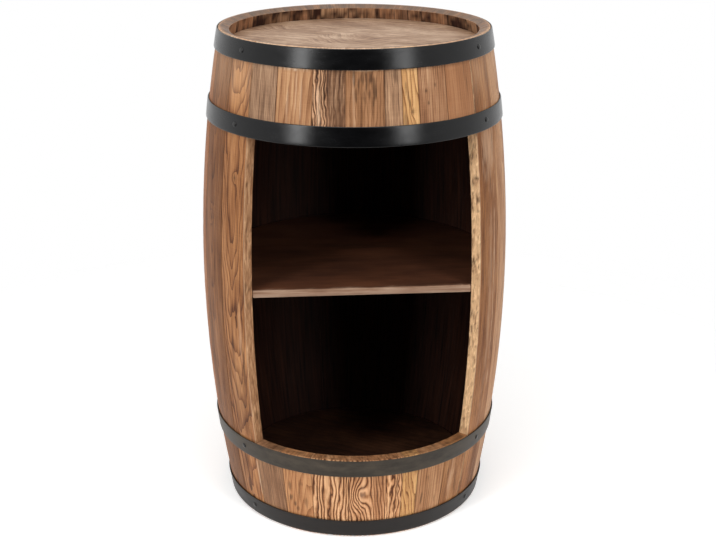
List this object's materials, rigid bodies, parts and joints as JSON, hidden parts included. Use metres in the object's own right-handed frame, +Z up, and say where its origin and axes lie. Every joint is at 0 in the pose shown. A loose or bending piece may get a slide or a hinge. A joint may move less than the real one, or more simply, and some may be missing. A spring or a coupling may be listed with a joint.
{
  "type": "barrel bar cabinet",
  "caption": "Upright wooden cask with an open doorway in its front, a fixed shelf inside, a recessed round top and steel hoops, for standing bottles and glasses in and on.",
  "frame": {"origin": "middle of the overall width and depth, on the floor under the lower rim; the cask's axis is 5.9 mm in front of it", "axes": "+Z up along the cask's axis, -Y out of the doorway, +X to the right for someone who faces the doorway"},
  "size_m": [0.5114, 0.4991, 0.81],
  "materials": {
    "stave_wood": "satin brown oil on softwood",
    "head_wood": "matt pale brown",
    "shelf_wood": "satin dark brown",
    "cleat_wood": "matt dark brown",
    "hoop_steel": "satin black",
    "nail_steel": "dark"
  },
  "bodies": {
    "root": {"bottom_hoop": "hoop_steel", "cleat_nails": "nail_steel", "floor_board": "head_wood", "hoop_nails": "nail_steel", "left_cleat": "cleat_wood", "lower_front_stave_1": "stave_wood", "lower_front_stave_2": "stave_wood", "lower_front_stave_3": "stave_wood", "lower_front_stave_4": "stave_wood", "lower_front_stave_5": "stave_wood", "lower_front_stave_6": "stave_wood", "lower_front_stave_7": "stave_wood", "lower_front_stave_8": "stave_wood", "lower_hoop": "hoop_steel", "rear_left_cleat": "cleat_wood", "rear_right_cleat": "cleat_wood", "right_cleat": "cleat_wood", "shelf": "shelf_wood", "top_head": "head_wood", "top_hoop": "hoop_steel", "upper_front_stave_1": "stave_wood", "upper_front_stave_2": "stave_wood", "upper_front_stave_3": "stave_wood", "upper_front_stave_4": "stave_wood", "upper_front_stave_5": "stave_wood", "upper_front_stave_6": "stave_wood", "upper_front_stave_7": "stave_wood", "upper_front_stave_8": "stave_wood", "upper_hoop": "hoop_steel", "wall_stave_01": "stave_wood", "wall_stave_02": "stave_wood", "wall_stave_03": "stave_wood", "wall_stave_04": "stave_wood", "wall_stave_05": "stave_wood", "wall_stave_06": "stave_wood", "wall_stave_07": "stave_wood", "wall_stave_08": "stave_wood", "wall_stave_09": "stave_wood", "wall_stave_10": "stave_wood", "wall_stave_11": "stave_wood", "wall_stave_12": "stave_wood", "wall_stave_13": "stave_wood", "wall_stave_14": "stave_wood", "wall_stave_15": "stave_wood", "wall_stave_16": "stave_wood", "wall_stave_17": "stave_wood", "wall_stave_18": "stave_wood"}
  },
  "joints": []
}
